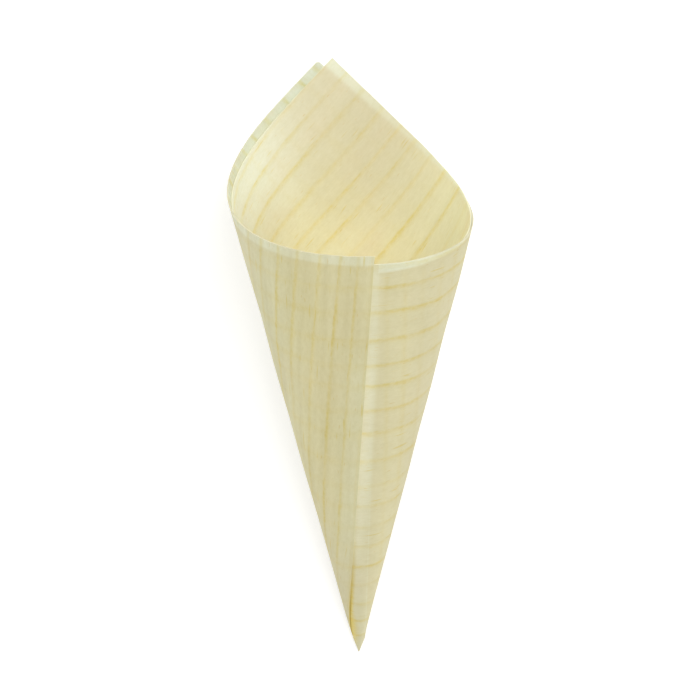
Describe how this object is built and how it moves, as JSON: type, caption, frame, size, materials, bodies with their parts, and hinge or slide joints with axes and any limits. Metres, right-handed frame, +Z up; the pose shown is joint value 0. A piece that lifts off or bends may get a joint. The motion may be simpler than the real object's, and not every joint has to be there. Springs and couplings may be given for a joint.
{
  "type": "wooden serving cone",
  "caption": "Open cone for serving snacks, rolled from a thin sheet of pale wood veneer, with a pointed tip, a low front rim and raised peaks at the back of the mouth.",
  "frame": {"origin": "on the surface that the cone lies on, under the middle of its box", "axes": "+Y along the line that the cone lies on, from its tip to its mouth, +Z up, with the seam on top"},
  "size_m": [0.0688, 0.177, 0.0624],
  "materials": {
    "veneer": "bare, sliced and lightly sanded, matte"
  },
  "bodies": {
    "root": {"veneer_cone": "veneer"}
  },
  "joints": []
}
